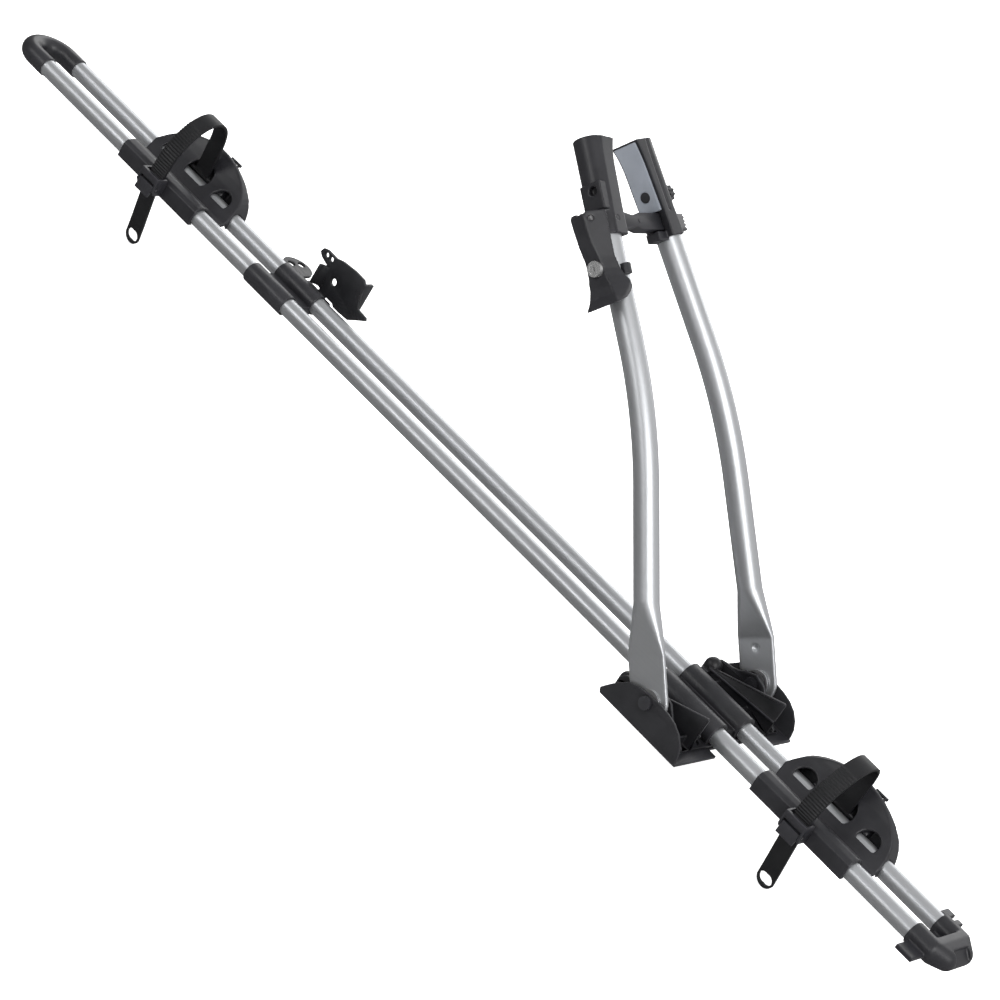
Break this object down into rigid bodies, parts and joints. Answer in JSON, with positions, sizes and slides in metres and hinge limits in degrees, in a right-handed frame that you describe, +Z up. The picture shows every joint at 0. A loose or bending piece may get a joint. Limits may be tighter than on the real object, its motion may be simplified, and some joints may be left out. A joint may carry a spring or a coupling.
{
  "type": "roof mounted bike carrier",
  "caption": "Roof bike carrier with a two-tube wheel tray, sliding wheel holders with ratchet straps, and folding arms with a locking frame clamp.",
  "frame": {"origin": "middle of the four bolt holes under the base, on the face that rests on the load bar", "axes": "+X forward along the tray, +Y to the right arm's side, +Z up"},
  "size_m": [1.5089, 0.2174, 0.4713],
  "materials": {
    "plastic": "satin moulded black",
    "strap": "flexible black moulded strap",
    "tube": "satin anodised",
    "black_steel": "black powder coat",
    "steel": "zinc plated",
    "lock": "bright nickel",
    "pad_grey": "light grey rubber",
    "pad_black": "black rubber"
  },
  "bodies": {
    "tray": {"left_tube": "tube", "right_tube": "tube", "rear_end_cap": "plastic", "front_end_cap": "plastic", "base_cradle": "black_steel", "base_body": "plastic", "base_screws": "steel", "left_pivot_bolt": "steel", "right_pivot_bolt": "steel"},
    "rear_holder": {"rear_wheel_holder": "plastic", "rear_wheel_strap": "strap", "rear_buckle": "plastic", "rear_buckle_pin": "steel", "rear_strap_keeper": "black_steel"},
    "front_holder": {"front_wheel_holder": "plastic", "front_wheel_strap": "strap", "front_buckle": "plastic", "front_buckle_pin": "steel", "front_strap_keeper": "black_steel"},
    "rear_pawl": {"rear_buckle_pawl": "plastic"},
    "front_pawl": {"front_buckle_pawl": "plastic"},
    "rear_foot_body": {"rear_foot": "plastic", "foot_bracket": "black_steel", "foot_pad": "pad_black", "claw_pin": "steel"},
    "claw": {"rear_claw": "black_steel"},
    "left_hub": {"left_pivot_bush": "steel", "left_pivot_washer": "steel"},
    "right_hub": {"right_pivot_bush": "steel", "right_pivot_washer": "steel"},
    "left_arm_body": {"left_arm": "tube", "left_jaw": "plastic", "left_jaw_pad": "pad_grey", "left_pad_bolt": "black_steel", "link_pin": "steel", "lever_pin": "steel", "lock_catch": "plastic"},
    "right_arm_body": {"right_arm": "tube", "right_jaw": "plastic", "right_jaw_pad": "pad_grey", "right_pad_bolt": "black_steel"},
    "link": {"jaw_link": "plastic"},
    "lever": {"clamp_lever": "plastic", "lock_collar": "lock"},
    "lock": {"lock_core": "lock"}
  },
  "joints": [
    {"name": "rear_holder_slide", "type": "slide", "parent": "tray", "child": "rear_holder", "axis": [1, 0, 0], "range_m": [-0.114, 0.036]},
    {"name": "front_holder_slide", "type": "slide", "parent": "tray", "child": "front_holder", "axis": [1, 0, 0], "range_m": [-0.03, 0.05]},
    {"name": "rear_foot_slide", "type": "slide", "parent": "tray", "child": "rear_foot_body", "axis": [1, 0, 0], "range_m": [-0.01, 0.03]},
    {"name": "rear_claw_swing", "type": "hinge", "parent": "rear_foot_body", "child": "claw", "pos_m": [-0.675, 0.0495, 0.01], "axis": [-1, 0, 0], "range_deg": [0, 180]},
    {"name": "rear_pawl_lift", "type": "hinge", "parent": "rear_holder", "child": "rear_pawl", "pos_m": [-0.866, -0.049, 0.0145], "axis": [-1, 0, 0], "range_deg": [0, 25], "stiffness_Nm_per_rad": 0.06},
    {"name": "front_pawl_lift", "type": "hinge", "parent": "front_holder", "child": "front_pawl", "pos_m": [0.169, -0.049, 0.0145], "axis": [-1, 0, 0], "range_deg": [0, 25], "stiffness_Nm_per_rad": 0.06},
    {"name": "left_fold", "type": "hinge", "parent": "tray", "child": "left_hub", "pos_m": [-0.006, -0.0985, 0.028], "axis": [0, 1, 0], "range_deg": [-38, 40]},
    {"name": "right_fold", "type": "hinge", "parent": "tray", "child": "right_hub", "pos_m": [-0.006, 0.0985, 0.028], "axis": [0, 1, 0], "range_deg": [-38, 40]},
    {"name": "left_splay", "type": "hinge", "parent": "left_hub", "child": "left_arm_body", "pos_m": [-0.006, -0.0985, 0.028], "axis": [0.5592, 0, 0.829], "range_deg": [-1.5, 1.5]},
    {"name": "right_splay", "type": "hinge", "parent": "right_hub", "child": "right_arm_body", "pos_m": [-0.006, 0.0985, 0.028], "axis": [0.5592, 0, 0.829], "range_deg": [-1.5, 1.5]},
    {"name": "link_swing", "type": "hinge", "parent": "left_arm_body", "child": "link", "pos_m": [-0.35447, -0.05102, 0.34391], "axis": [0.5592, 0, 0.829], "range_deg": [-1.5, 1.5]},
    {"name": "lever_swing", "type": "hinge", "parent": "left_arm_body", "child": "lever", "pos_m": [-0.35597, -0.08298, 0.34594], "axis": [-0.5602, -0.027, -0.8279], "range_deg": [0, 95]},
    {"name": "lock_turn", "type": "hinge", "parent": "lever", "child": "lock", "pos_m": [-0.31811, -0.08147, 0.31362], "axis": [-0.0746, -0.9938, 0.0828], "range_deg": [0, 90]}
  ],
  "couplings": [
    {"joint": "right_fold", "follows": "left_fold", "ratio": 1},
    {"joint": "right_splay", "follows": "left_splay", "ratio": -1},
    {"joint": "link_swing", "follows": "left_splay", "ratio": -1}
  ]
}
